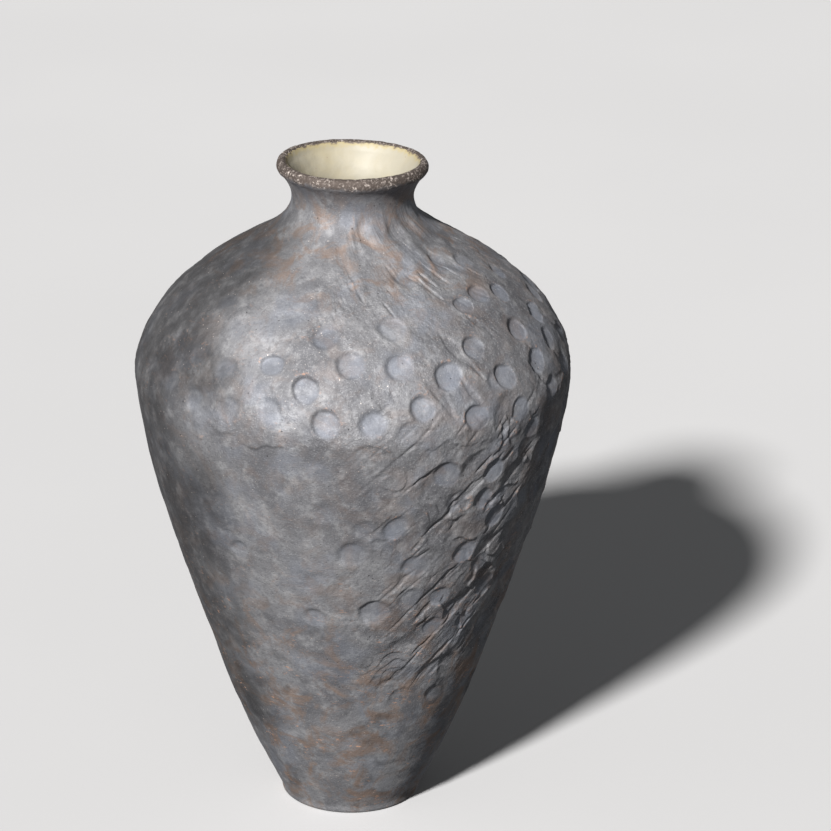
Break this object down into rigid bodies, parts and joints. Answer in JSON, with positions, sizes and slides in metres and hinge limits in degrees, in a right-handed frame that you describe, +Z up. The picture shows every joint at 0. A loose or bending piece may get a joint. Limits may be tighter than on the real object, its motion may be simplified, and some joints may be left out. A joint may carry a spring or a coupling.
{
  "type": "clay jar",
  "caption": "Tall hand-built black clay jar with a narrow foot, a round dimpled shoulder, a short neck, a rolled lip and a cream glaze inside.",
  "frame": {"origin": "middle of the base, on the surface that the jar stands on", "axes": "+Z up along the jar's axis, -Y towards the front, +X to the right seen from the front"},
  "size_m": [0.2998, 0.2997, 0.465],
  "materials": {
    "black_clay": "burnished charcoal clay with rust-brown patina and scratches",
    "rust_lip": "dark brown clay with worn coppery flecks",
    "cream_glaze": "glossy cream glaze, slightly uneven"
  },
  "bodies": {
    "root": {"floor_slab": "black_clay", "floor_fillet_coil": "black_clay", "wall_course_1": "black_clay", "wall_course_2": "black_clay", "wall_course_3": "black_clay", "wall_course_4": "black_clay", "wall_course_5": "black_clay", "wall_course_6": "black_clay", "shoulder_course_1": "black_clay", "shoulder_course_2": "black_clay", "shoulder_course_3": "black_clay", "neck_collar": "black_clay", "lip_coil": "rust_lip", "glaze_lining": "cream_glaze"}
  },
  "joints": []
}
